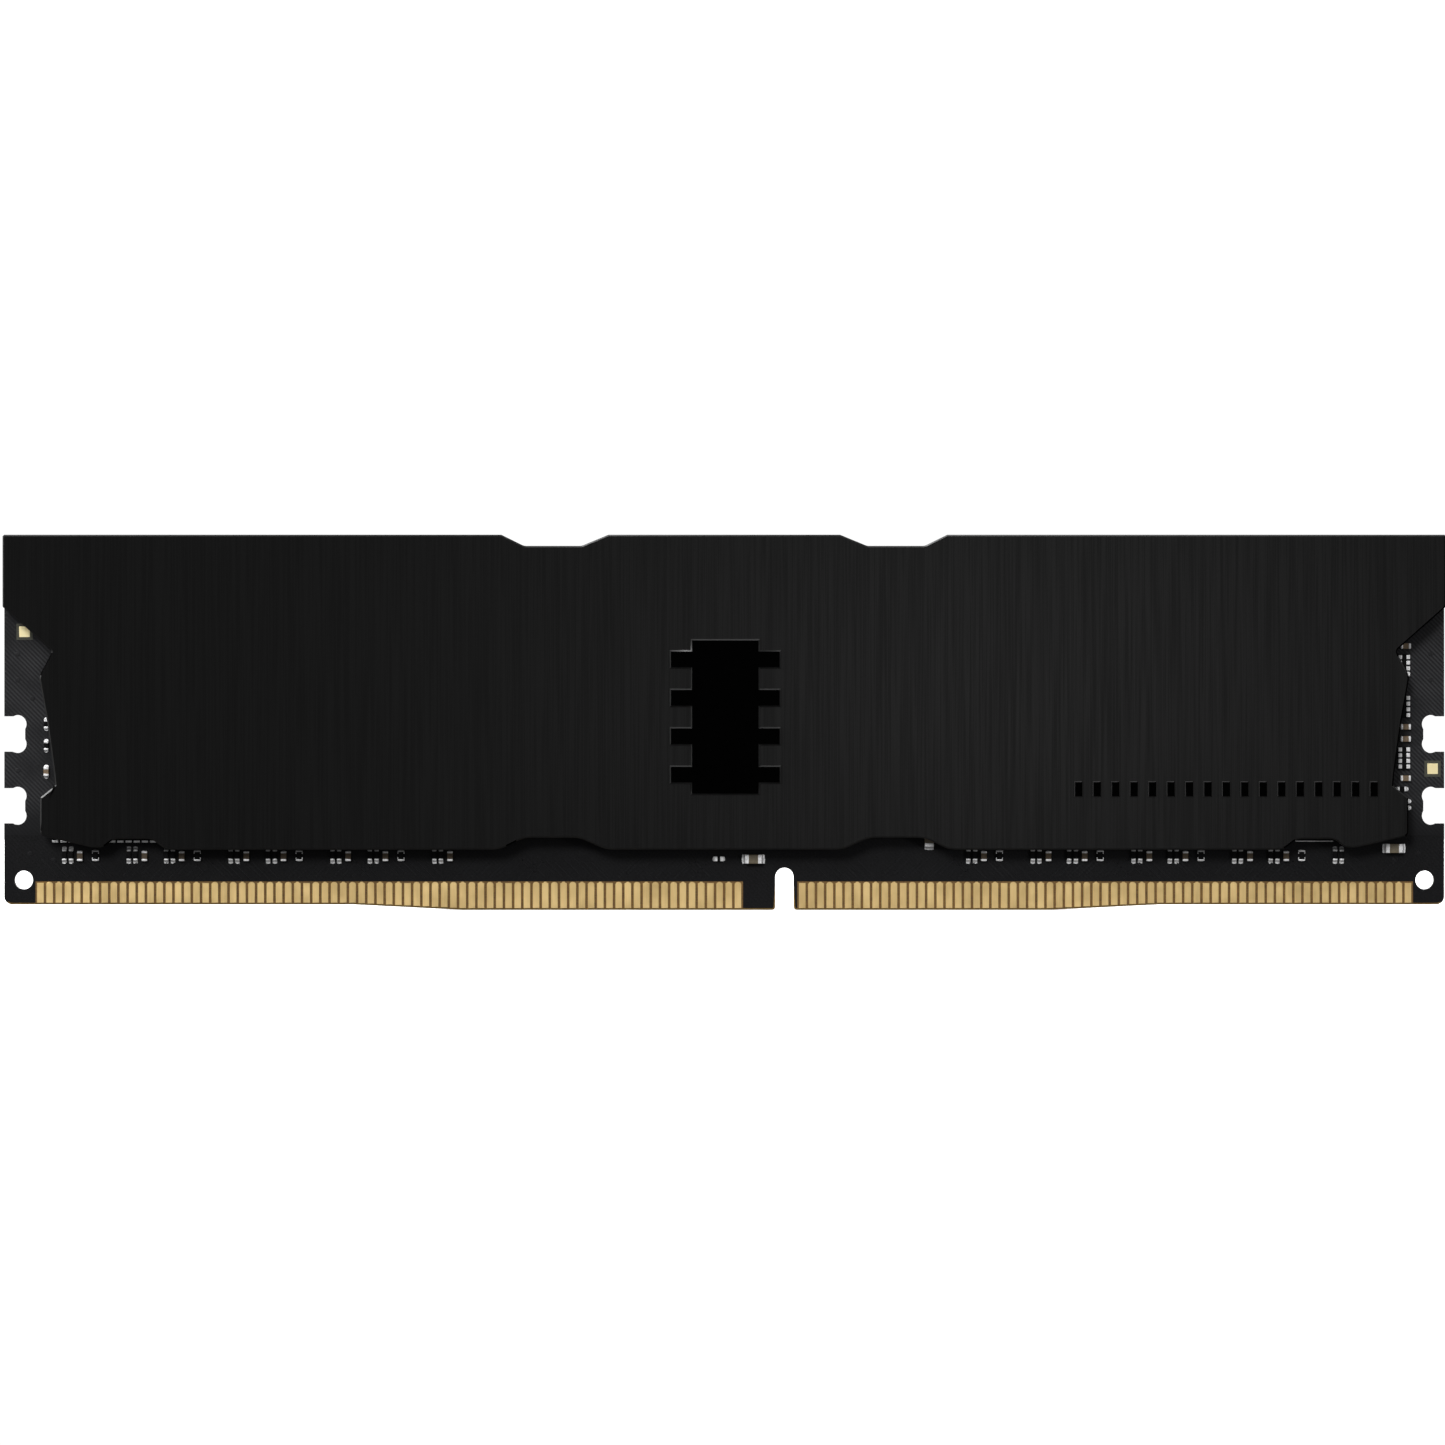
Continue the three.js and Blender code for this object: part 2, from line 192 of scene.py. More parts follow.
def brushed_anodising():
    """Black anodised aluminium. It is brushed along Z on its faces and along Y on its flange."""
    m = Material("brushed_anodising", grey(0.002), 0.5, specular=0.217)
    m.shader.inputs["Anisotropic"].default_value = 0.85
    fine = m.noise((0.12, 12, 12), detail=1)
    broad = m.noise((0.9, 60, 60), detail=3)
    mixed = m.blend(fine, broad, 0.25)
    m.color(m.ramp(mixed, [(0.4, grey(0.0001)), (0.6, grey(0.0018))]))
    m.roughness(m.spread(fine, 0.61, 0.47, 0.36, 0.64))
    m.bump(fine, 0.003, 0.25)
    return m.data


def polished_rim():
    """The plate's cut edges: black like its face, but smooth enough to gleam."""
    m = Material("polished_rim", grey(0.003), 0.4)
    wear = m.noise((0.5, 0.5, 0.5), detail=3)
    m.color(m.ramp(wear, [(0.35, grey(0.002)), (0.65, grey(0.0055))]))
    m.roughness(m.spread(wear, 0.36, 0.44))
    m.bump(wear, 0.003, 0.3)
    return m.data


def solder_mask(name, lightness, hatched, specular, foot=None):
    """Black solder mask. The copper mesh beneath shows as fine lines at 45 degrees.

    With a foot, in millimetres, the mask is darkened with painted shade at that height, and lightens
    gradually above it.
    """
    m = Material(name, (0.012, 0.012, 0.013), 0.38, specular=specular)
    place = m.split()
    across = m.math("ADD", place["X"], place["Z"])
    turns = 2 * math.pi / (HATCH_PITCH * math.sqrt(2) * MM)
    wave = m.math("SINE", m.math("MULTIPLY", across, turns))
    cloud = m.noise((4, 4, 4), detail=2)
    speck = m.noise((0.12, 0.12, 0.12), detail=3)
    hatch = m.math("MULTIPLY", m.math("MULTIPLY_ADD", wave, 0.5, 0.5), m.spread(cloud, 0.1, 0.9))
    tone = m.blend(speck, hatch, hatched)
    if foot is not None:
        # painted shade: the mask is darker towards the copper mesh's foot
        painted_shade_rise = m.spread(place["Z"], 0.1, 1.0, foot * MM, (foot + MASK_SHADE_RISE) * MM)
        tone = m.math("MULTIPLY", tone, painted_shade_rise)
    deepest = times((0.0034, 0.0034, 0.0038), grey(lightness))
    dark = times((0.0065, 0.0066, 0.0072), grey(lightness))
    light = times((0.022, 0.022, 0.0235), grey(lightness))
    m.color(m.ramp(tone, [(0.0, deepest), (0.2, dark), (0.8, light)]))
    m.roughness(m.spread(tone, 0.3, 0.46, 0.2, 0.8))
    m.bump(tone, 0.01, 0.5)
    return m.data


def bare_laminate(name, tint=grey(1.0)):
    """Glass-fibre laminate without solder mask: olive brown, with the cloth's weave in it."""
    m = Material(name, (0.2, 0.12, 0.04), 0.55)
    warp = m.noise((0.9, 0.9, 0.12))
    weft = m.noise((0.12, 0.12, 0.9))
    weave = m.blend(weft, warp, 0.5)
    dark = times((0.12, 0.056, 0.007), tint)
    light = times((0.24, 0.125, 0.021), tint)
    m.color(m.ramp(weave, [(0.35, dark), (0.65, light)]))
    m.roughness(m.spread(weave, 0.48, 0.66))
    m.bump(weave, 0.01)
    return m.data


def hard_gold(name, dark, light, rough):
    """Gold plating with the faint upright wipe marks that a socket leaves."""
    m = Material(name, light, sum(rough) / 2, metallic=1.0)
    wipe = m.noise((0.05, 0.05, 2.2), detail=2)
    cloud = m.noise((1.6, 1.6, 1.6), detail=2)
    mixed = m.blend(wipe, cloud, 0.6)
    m.color(m.ramp(mixed, [(0.35, dark), (0.65, light)]))
    m.roughness(m.spread(mixed, *rough))
    m.bump(wipe, 0.002, 0.4)
    return m.data


def tin(name, shade_from=None):
    """Tinned terminals and solder, a little uneven.

    With a height, in millimetres, the tin is darkened above it with painted shade, deepening gradually,
    for the plates' shadow.
    """
    m = Material(name, grey(0.7), 0.42, metallic=0.45)
    flow = m.noise((0.16, 0.16, 0.16), detail=2, distortion=0.4)
    tone = flow
    if shade_from is not None:
        # painted shade: the tin darkens towards the plate above the given height
        painted_shade = m.spread(m.split()["Z"], 1.0, 0.1, shade_from * MM, (shade_from + TIN_SHADE_FADE) * MM)
        tone = m.math("MULTIPLY", flow, painted_shade)
    m.color(m.ramp(tone, [(0.0, grey(0.08)), (0.3, (0.72, 0.72, 0.73)), (0.65, grey(1.0))]))
    m.roughness(m.spread(flow, 0.34, 0.5))
    m.bump(flow, 0.02, 0.5)
    return m.data


def speckled(name, dark, light, rough, grain, depth, specular=0.5):
    """A cast or fired surface: two close tones and a fine grain."""
    m = Material(name, light, sum(rough) / 2, specular=specular)
    grains = m.noise((grain,) * 3, detail=4)
    cloud = m.noise((grain * 9,) * 3, detail=2)
    mixed = m.blend(grains, cloud, 0.4)
    m.color(m.ramp(mixed, [(0.35, dark), (0.65, light)]))
    m.roughness(m.spread(mixed, *rough))
    m.bump(grains, depth, 0.6)
    return m.data


MASK = solder_mask("solder_mask", 2.35, hatched=0.6, specular=0.13, foot=POUR_FOOT)
VIA_MASK = solder_mask("via_mask", 1.6, hatched=0.2, specular=0.13)
PLAIN_MASK = solder_mask("plain_mask", 0.8, hatched=0.15, specular=0.06)
COPPER_UNDER_MASK = solder_mask("copper_under_mask", 1.08, hatched=0.2, specular=0.06)
LAMINATE = bare_laminate("bare_laminate")
CUT_EDGE = bare_laminate("cut_edge", (0.12, 0.16, 0.3))
FOOT_EDGE = bare_laminate("foot_edge", (2.1, 2.6, 4.8))
RING = bare_laminate("fiducial_ring", (0.3, 0.6, 2.6))
GOLD = hard_gold("hard_gold", (0.85, 0.605, 0.263), (0.96, 0.705, 0.325), (0.3, 0.42))
MATT_GOLD = hard_gold("matt_gold", (1.0, 0.84, 0.46), (1.0, 0.91, 0.57), (0.43, 0.52))
TIN = tin("tin")
# the bottom row's tin, with painted shade for the plates' shadow
ROW_TIN_PAINTED_SHADE = tin("row_tin_painted_shade", ROW_UNSHADED_TO)
PLATE = brushed_anodising()
RIM = polished_rim()
CERAMIC = speckled(
    "ceramic", (0.16, 0.106, 0.058), (0.26, 0.18, 0.105), (0.35, 0.5), grain=0.06, depth=0.01)
# the bottom row's ceramic: the same ceramic made darker, as painted shade for the plates' shadow
ROW_CERAMIC_PAINTED_SHADE = speckled(
    "row_ceramic_painted_shade", (0.063, 0.042, 0.023), (0.1, 0.072, 0.042), (0.4, 0.55), grain=0.06, depth=0.01,
    specular=0.3)
BULK_CERAMIC = speckled(
    "bulk_ceramic", (0.1, 0.078, 0.043), (0.18, 0.145, 0.088), (0.35, 0.5), grain=0.06, depth=0.01)
GLAZE = speckled(
    "glaze", (0.0012, 0.0012, 0.0014), (0.0045, 0.0045, 0.005), (0.3, 0.45), grain=0.1, depth=0.005,
    specular=0.08)
MOULDING = speckled(
    "moulding", (0.006, 0.006, 0.0065), (0.014, 0.014, 0.015), (0.5, 0.68), grain=0.05, depth=0.008)
SUBSTRATE = speckled(
    "substrate", (0.012, 0.03, 0.014), (0.03, 0.055, 0.028), (0.35, 0.5), grain=0.3, depth=0.01)
GAP_PAD = speckled(
    "gap_pad", (0.18, 0.2, 0.225), (0.3, 0.325, 0.355), (0.75, 0.95), grain=0.12, depth=0.03)
BADGE_GLOSS = speckled(
    "badge_gloss", grey(0.0001), grey(0.0003), (0.1, 0.16), grain=0.5, depth=0.002, specular=0.015)

# ---------------------------------------------------------------- making pieces


def cad_solid(node):
    """A CAD node's solid as a mesh in millimetres, its flat faces joined up."""
    solid = bmesh.new()
    solid.from_mesh(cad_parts[node].data)
    bmesh.ops.scale(solid, vec=Vector((1, 1, 1)) / MM, verts=solid.verts)
    bmesh.ops.remove_doubles(solid, verts=solid.verts, dist=WELD)
    bmesh.ops.dissolve_limit(solid, angle_limit=FLAT, verts=solid.verts, edges=solid.edges)
    return solid


def bevel(solid, width, choose):
    """Bevels the chosen edges among those that turn sharply enough."""
    edges = [
        edge for edge in solid.edges
        if len(edge.link_faces) == 2 and edge.calc_face_angle() > BEVELLED and choose(edge)
    ]
    bmesh.ops.bevel(
        solid, geom=edges, offset=width, segments=1, profile=0.5, affect="EDGES",
        clamp_overlap=False, material=-1)


def at_depth(edge, depth):
    """Whether an edge lies in the plane at that distance from the module's mid-plane."""
    return all(abs(abs(vert.co.y) - depth) < WELD for vert in edge.verts)


def paint(solid, materials, choose):
    """Gives each face the one of the materials that choose() picks for it."""
    solid.normal_update()
    for face in solid.faces:
        face.material_index = materials.index(choose(face))


def make_piece(name, solid, materials, replaced=()):
    """Turns a mesh in millimetres into a piece of the module. Faces square to an axis stay flat."""
    bmesh.ops.recalc_face_normals(solid, faces=solid.faces)
    bmesh.ops.scale(solid, vec=(MM, MM, MM), verts=solid.verts)
    mesh = bpy.data.meshes.new(name)
    solid.to_mesh(mesh)
    solid.free()
    for material in materials:
        mesh.materials.append(material)
    mesh.shade_smooth()
    mesh.set_sharp_from_angle(angle=SHARP)
    for polygon in mesh.polygons:
        polygon.use_smooth = max(abs(part) for part in polygon.normal) < SQUARE
    piece = bpy.data.objects.new(name, mesh)
    bpy.context.scene.collection.objects.link(piece)
    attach(piece, "root")
    if replaced:
        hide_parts(*replaced)


class Shape:
    """Points and faces that can be stamped in many places.

    A face is (corners, place of its material in the piece's list).
    """

    def __init__(self):
        self.points = []
        self.faces = []

    def take(self, solid):
        """Adds a mesh, which is used up."""
        start = len(self.points)
        solid.verts.index_update()
        self.points += [vert.co.copy() for vert in solid.verts]
        self.faces += [
            ([start + vert.index for vert in face.verts], face.material_index) for face in solid.faces
        ]
        solid.free()

    def take_all(self, solid, material):
        """Adds a mesh that is all of one material."""
        for face in solid.faces:
            face.material_index = material
        self.take(solid)

    def block(self, corner, opposite, rim, material=0, segments=1):
        """Adds a block with bevelled edges between two opposite corners."""
        low = Vector([min(pair) for pair in zip(corner, opposite)])
        high = Vector([max(pair) for pair in zip(corner, opposite)])
        solid = bmesh.new()
        bmesh.ops.create_cube(solid, size=1)
        bmesh.ops.scale(solid, vec=high - low, verts=solid.verts)
        bmesh.ops.translate(solid, vec=(low + high) / 2, verts=solid.verts)
        bmesh.ops.bevel(
            solid, geom=solid.edges[:], offset=rim, segments=segments, profile=0.5, affect="EDGES")
        self.take_all(solid, material)

    def stamp(self, other, matrix):
        start = len(self.points)
        self.points += [matrix @ point for point in other.points]
        self.faces += [([start + i for i in corners], material) for corners, material in other.faces]

    def solid(self):
        mesh = bmesh.new()
        verts = [mesh.verts.new(point) for point in self.points]
        for corners, material in self.faces:
            mesh.faces.new([verts[i] for i in corners]).material_index = material
        return mesh


def skin(rows):
    """A closed solid through rows of four points each."""
    solid = bmesh.new()
    rings = [[solid.verts.new(point) for point in row] for row in rows]
    for one, two in zip(rings, rings[1:]):
        for i in range(4):
            j = (i + 1) % 4
            solid.faces.new([one[i], one[j], two[j], two[i]])
    solid.faces.new(rings[0][::-1])
    solid.faces.new(rings[-1])
    return solid


def onto_face(x, z, side, turned=False):
    """Places a shape that lies on the XY plane, with its height along Z, on a face of the board."""
    turn = Matrix.Rotation(math.radians(90), 4, "Z") if turned else Matrix.Identity(4)
    lay = Matrix(((1, 0, 0, 0), (0, 0, side, 0), (0, 1, 0, 0), (0, 0, 0, 1)))
    return Matrix.Translation((x, side * BOARD_FACE, z)) @ lay @ turn


def lay_piece(name, shape, x, z, materials, replaced=(), side=FRONT, turned=False):
    """Makes a piece of one shape that lies on a face of the board."""
    stamped = Shape()
    stamped.stamp(shape, onto_face(x, z, side, turned))
    make_piece(name, stamped.solid(), materials, replaced)


def lay_over(node, ending, shape, materials, side=FRONT, turned=False):
    """Lays a shape in the place of a CAD node, and names the piece after the node."""
    centre = middle(node)
    lay_piece(f"{node}_{ending}", shape, centre.x, centre.z, materials, [node], side, turned)


# ---------------------------------------------------------------- circuit board

ENDS = ("left", "right")
CONTACT_PITCH = 0.85
CONTACT_WIDTH = 0.66
CONTACT_TOP = box("contacts_front_left")[1].z
MASK_OPENING = 0.13  # how far bare laminate shows around the contacts
FOOT_BEVEL = 0.15
FOOT_RISE_LIMIT = 0.7  # the stepped contact edge stays below this height
BOARD_MATERIALS = [MASK, LAMINATE, CUT_EDGE, PLAIN_MASK, FOOT_EDGE]


def contact_rows(side_name):
    """The lowest and highest corners of the two rows of contacts on one face."""
    return [box(f"contacts_{side_name}_{end}") for end in ENDS]


def contact_centres(low, high):
    """Where the contacts of a row are along X, from the row's corners."""
    count = round((high.x - low.x - CONTACT_WIDTH) / CONTACT_PITCH) + 1
    return [low.x + CONTACT_WIDTH / 2 + i * CONTACT_PITCH for i in range(count)]


def on_foot(edge):
    """Whether an edge runs along the foot of the contact edge."""
    return at_depth(edge, BOARD_FACE) and max(vert.co.z for vert in edge.verts) < FOOT_RISE_LIMIT


def make_board():
    solid = cad_solid("board")
    bevel(solid, FOOT_BEVEL, on_foot)
    windows = [(low.x - MASK_OPENING, high.x + MASK_OPENING) for low, high in contact_rows("front")]
    top = CONTACT_TOP + MASK_OPENING
    cuts = [((0, 0, z), (0, 0, 1)) for z in (top, POUR_FOOT)]
    cuts += [((x, 0, 0), (1, 0, 0)) for window in windows for x in window]
    for point, normal in cuts:
        geometry = solid.verts[:] + solid.edges[:] + solid.faces[:]
        bmesh.ops.bisect_plane(solid, geom=geometry, dist=WELD / 2, plane_co=point, plane_no=normal)

    def material(face):
        centre = face.calc_center_median()
        if abs(face.normal.y) < EDGE_ON:
            return CUT_EDGE
        if abs(face.normal.y) < FACING:
            return FOOT_EDGE
        if centre.z < top and any(low < centre.x < high for low, high in windows):
            return LAMINATE
        return PLAIN_MASK if centre.z < POUR_FOOT else MASK

    paint(solid, BOARD_MATERIALS, material)
    make_piece("board_detailed", solid, BOARD_MATERIALS, ["board"])


# ---------------------------------------------------------------- contacts

PLATED_WIDTH = 0.62  # the etched copper is a little narrower than the nominal contact
CONTACT_BEVEL = 0.02
FIRST_FLATS = {"left": (0, 7), "right": (0,)}  # the first contacts of each row whose ends are flat
FLAT_EVERY = 11
CROWN = 0.12  # how far a nub reaches past the nominal end
NUB_HALF_WIDTH = 0.15
NUB_TAPER = 0.06
NUB_SHOULDER = 0.03
DOME_ANGLES = (0, 22, 45, 68, 90)
DOME_INSET = 0.05
DOME_SHOULDER = 0.1
DOME_DROP = 0.06  # from the nominal end down to the dome's centre
DOME_HEIGHT = 0.16


def contact_top(kind, top):
    """The right-hand half of a contact's upper end, from its side to its middle."""
    half = PLATED_WIDTH / 2
    if kind == "flat":
        return [(half, top)]
    if kind == "dome":
        radius = half - DOME_INSET
        angles = [math.radians(angle) for angle in DOME_ANGLES]
        arc = [(radius * math.cos(a), top - DOME_DROP + DOME_HEIGHT * math.sin(a)) for a in angles]
        return [(half, top - DOME_SHOULDER), *arc]
    return [(half, top - NUB_SHOULDER), (NUB_HALF_WIDTH, top), (NUB_HALF_WIDTH - NUB_TAPER, top + CROWN)]


def contact_outline(kind, x, foot, top):
    """A contact's outline in X and Z. A point in its middle isn't doubled."""
    half = PLATED_WIDTH / 2
    right = contact_top(kind, top)
    left = [(-px, pz) for px, pz in reversed(right) if px > WELD]
    return [(x + px, pz) for px, pz in [(half, foot), *right, *left, (-half, foot)]]


def contact_kinds(count, first_flats):
    """Flat ends at the row's own pins, then every eleventh. Domes and nubs alternate between."""
    kinds = []
    since_flat = 0
    for pin in range(count):
        past = pin - first_flats[-1]
        flat = pin in first_flats or (past > 0 and past % FLAT_EVERY == 0)
        since_flat = 0 if flat else since_flat + 1
        kinds.append("flat" if flat else ("dome" if since_flat % 2 else "nub"))
    return kinds


def prism(outline, from_y, to_y):
    """A closed solid from an outline in X and Z."""
    solid = bmesh.new()
    near = [solid.verts.new((x, from_y, z)) for x, z in outline]
    far = [solid.verts.new((x, to_y, z)) for x, z in outline]
    solid.faces.new(near)
    solid.faces.new(far[::-1])
    for i in range(len(outline)):
        j = (i + 1) % len(outline)
        solid.faces.new([near[j], near[i], far[i], far[j]])
    return solid


def comb_feet(node, centres):
    """How low each contact reaches, from the CAD comb's own corners."""
    corners = [vert.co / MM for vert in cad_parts[node].data.vertices]
    feet = []
    for x in centres:
        near = [corner.z for corner in corners if abs(corner.x - x) < CONTACT_WIDTH / 2 + WELD]
        feet.append(min(near))
    return feet


def make_contacts(side_name, end):
    node = f"contacts_{side_name}_{end}"
    side = SIDES[side_name]
    low, high = box(node)
    centres = contact_centres(low, high)
    kinds = contact_kinds(len(centres), FIRST_FLATS[end])
    outer = outer_face(node)
    shape = Shape()
    for x, kind, foot in zip(centres, kinds, comb_feet(node, centres)):
        solid = prism(contact_outline(kind, x, foot, high.z), side * BOARD_FACE, side * outer)
        rims = [edge for edge in solid.edges if at_depth(edge, outer)]
        bmesh.ops.bevel(solid, geom=rims, offset=CONTACT_BEVEL, segments=1, affect="EDGES")
        shape.take(solid)
    make_piece(f"{node}_plated", shape.solid(), [GOLD], [node])


# ---------------------------------------------------------------- heat spreader

PLATE_FACE = 3.3  # from the module's mid-plane to the plate's face
PLATE_RIM = 0.13
BAR_RIM = 0.08
BADGE_RIM = 0.13
BARS_X = (31, 61)  # the row of small raised bars lies between these
BARS_Z = (10, 12.3)
PLATE_MATERIALS = [PLATE, BADGE_GLOSS, RIM]
BADGE_MATERIALS = [BADGE_GLOSS, RIM]

# Which way the plate's edges that are painted black as shade look, on their sides away from the light:
# ranges of their normals to the right, and up.
# 1.1 is no limit.
PAINTED_SHADE_EDGES = [
    ((0.3, 1.1), (-1.1, 0.3)),  # the right-hand edges, but not those that look up
    ((-1.1, -0.5), (0.15, 0.45)),  # the short slope at the upper left
]


def by_bars(point):
    return BARS_X[0] < abs(point.x) < BARS_X[1] and BARS_Z[0] < point.z < BARS_Z[1]


def on_bar(edge):
    """Whether an edge belongs to one of the small raised bars."""
    if any(abs(vert.co.y) > PLATE_FACE + WELD for vert in edge.verts):
        return True
    return at_depth(edge, PLATE_FACE) and all(by_bars(vert.co) for vert in edge.verts)


def is_painted_shade_edge(across, up):
    return any(
        left < across < right and low < up < high for (left, right), (low, high) in PAINTED_SHADE_EDGES)


def make_plate(side_name):
    node = f"heatspreader_{side_name}"
    solid = cad_solid(node)
    bevel(solid, PLATE_RIM, lambda edge: not on_bar(edge))
    bevel(solid, BAR_RIM, lambda edge: at_depth(edge, BAR_FACE))

    def material(face):
        level = abs(face.calc_center_median().y) < PLATE_FACE + WELD
        if abs(face.normal.y) > FACING:
            return PLATE if level else BADGE_GLOSS
        # painted shade: edges facing away from the light get the badge's black instead of the rim's
        # gleam
        if is_painted_shade_edge(-SIDES[side_name] * face.normal.x, face.normal.z):
            return BADGE_GLOSS
        horizontal = abs(face.normal.z) >= SQUARE
        return PLATE if level and horizontal else RIM

    paint(solid, PLATE_MATERIALS, material)
    make_piece(f"{node}_brushed", solid, PLATE_MATERIALS, [node])


def make_badge(side_name):
    node = f"badge_{side_name}"
    solid = cad_solid(node)
    outer = outer_face(node)
    bevel(solid, BADGE_RIM, lambda edge: at_depth(edge, outer))
    paint(solid, BADGE_MATERIALS, lambda face: BADGE_GLOSS if abs(face.normal.y) > FACING else RIM)
    make_piece(f"{node}_gloss", solid, BADGE_MATERIALS, [node])


# ---------------------------------------------------------------- packages and pads under the plates

# Packages and small parts have their metal at the same place in their lists of materials.
MOULD, PACKAGE_BASE = 0, 1
CERAMIC_BODY, GLAZE_BODY, METAL, BULK_BODY = range(4)
PACKAGE_MATERIALS = [MOULDING, SUBSTRATE, TIN]
SMALL_MATERIALS = [CERAMIC, GLAZE, TIN, BULK_CERAMIC]
# The bottom row's materials: a darker ceramic and a tin that darkens towards the plate, both painted
# shade for the plates' shadow.
ROW_MATERIALS = [ROW_CERAMIC_PAINTED_SHADE, GLAZE, ROW_TIN_PAINTED_SHADE, BULK_CERAMIC]

BALL_PITCH = 0.8
BALL_ROWS = 13
BALL_COLUMNS = (-2.8, -2.0, -1.2, 1.2, 2.0, 2.8)
BALL_RADIUS = 0.22
BALL_SQUASH = 0.62
STANDOFF = 0.25  # from the board to a package's substrate
SUBSTRATE_THICKNESS = 0.2
SUBSTRATE_RIM = 0.02
MOULD_RIM = 0.07

PAD_CUTS = 2
LONG_EDGE = 2  # the pads' edges that are longer than this are cut again
LONG_EDGE_CUTS = 14
PAD_WAVES = (0.02, 0.22)
PAD_SEED = 7


def ball():
    """A squashed solder ball, standing on the XY plane."""
    solid = bmesh.new()
    bmesh.ops.create_uvsphere(solid, u_segments=8, v_segments=5, radius=BALL_RADIUS)
    bmesh.ops.scale(solid, vec=(1, 1, BALL_SQUASH), verts=solid.verts)
    bmesh.ops.translate(solid, vec=(0, 0, BALL_SQUASH * BALL_RADIUS), verts=solid.verts)
    shape = Shape()
    shape.take_all(solid, METAL)
    return shape


def package_shape(width, height, top):
    """A memory package on its grid of solder balls: mould, substrate and balls."""
    shape = Shape()
    seam = STANDOFF + SUBSTRATE_THICKNESS
    x, y = width / 2, height / 2
    shape.block((-x, -y, STANDOFF), (x, y, seam), SUBSTRATE_RIM, PACKAGE_BASE)
    shape.block((-x, -y, seam), (x, y, top), MOULD_RIM, MOULD, segments=2)
    one = ball()
    for column in BALL_COLUMNS:
        for row in range(BALL_ROWS):
            place = (column, (row - (BALL_ROWS - 1) / 2) * BALL_PITCH, 0)
            shape.stamp(one, Matrix.Translation(place))
    return shape


def make_packages(side_name):
    nodes = [f"dram_{side_name}_{number}" for number in PACKAGES]
    low, high = box(nodes[0])
    shape = package_shape(high.x - low.x, high.z - low.z, outer_face(nodes[0]) - BOARD_FACE)
    for node in nodes:
        lay_over(node, "package", shape, PACKAGE_MATERIALS, SIDES[side_name])


def make_thermal_pad(side_name):
    """A soft pad, squeezed a little wavy along its edges."""
    node = f"thermal_pad_{side_name}"
    solid = cad_solid(node)
    bmesh.ops.subdivide_edges(solid, edges=solid.edges[:], cuts=PAD_CUTS, use_grid_fill=True)
    long_edges = [edge for edge in solid.edges if edge.calc_length() > LONG_EDGE]
    bmesh.ops.subdivide_edges(solid, edges=long_edges, cuts=LONG_EDGE_CUTS, use_grid_fill=True)
    low, high = box(node)
    chance = random.Random(PAD_SEED)
    for vert in solid.verts:
        for axis in (0, 2):
            for limit, inward in ((low[axis], 1), (high[axis], -1)):
                if abs(vert.co[axis] - limit) < WELD:
                    vert.co[axis] += inward * chance.uniform(*PAD_WAVES)
    make_piece(f"{node}_soft", solid, [GAP_PAD], [node])


# ---------------------------------------------------------------- small soldered parts

BODY_RIM = 0.03
BODY_INSET = 0.04  # from a terminal's end to the body's end inside it
LIFT = 0.02  # of a body above the board
PROUD = 0.02  # how far terminals stand above the body
TERMINAL_RIM = 0.05
ARM_WIDTH = 0.07
ARM_LENGTH = 0.17
ARM_RIM = 0.015
FILLET_STEPS = 7
FILLET_OVERLAP = 0.03  # with the terminal
FILLET_RISE = 0.8  # of the terminal's height
FILLET_CURVE = 4  # the power that its slope falls with
FILLET_THICKNESS = 0.015
FILLET_TIP = 0.02


def chip_shape(length, width, height, terminal, body, fillet, bracket=0.0, square=2):
    """A two-terminal part, its length along Y.

    The fillet is how far its solder reaches past each end. With a bracket, the terminals reach
    that far past the body on each side and have arms along it.
    """
    shape = Shape()
    half = length / 2
    body_half, body_end = width / 2 - bracket, half - BODY_INSET
    shape.block((-body_half, -body_end, LIFT), (body_half, body_end, height), BODY_RIM, body)
    for end in (-1, 1):
        inner = end * (half - terminal)
        corner, opposite = (-width / 2, inner, 0), (width / 2, end * half, height + PROUD)
        shape.block(corner, opposite, TERMINAL_RIM, METAL, segments=2)
        shape.stamp(solder_fillet(width, height, fillet, end, half, square), Matrix.Identity(4))
        if bracket:
            for edge in (-1, 1):
                corner = (edge * (width / 2 - ARM_WIDTH), inner, 0)
                opposite = (edge * width / 2, inner - end * ARM_LENGTH, height)
                shape.block(corner, opposite, ARM_RIM, METAL)
    return shape


def solder_fillet(width, height, reach, end, start, square):
    """The concave solder slope between a terminal and the board. It is round, or squarer, in plan."""
    rows = []
    for i in range(FILLET_STEPS + 1):
        t = i / FILLET_STEPS
        y = end * (start - FILLET_OVERLAP + (reach + FILLET_OVERLAP) * t)
        z = FILLET_RISE * height * (1 - t) ** FILLET_CURVE + FILLET_THICKNESS
        half = max(width / 2 * (1 - t ** square) ** (1 / square), FILLET_TIP)
        rows.append([(-half, y, z), (half, y, z), (half, y, 0), (-half, y, 0)])
    solid = skin(rows)
    bmesh.ops.recalc_face_normals(solid, faces=solid.faces)
    shape = Shape()
    shape.take_all(solid, METAL)
    return shape


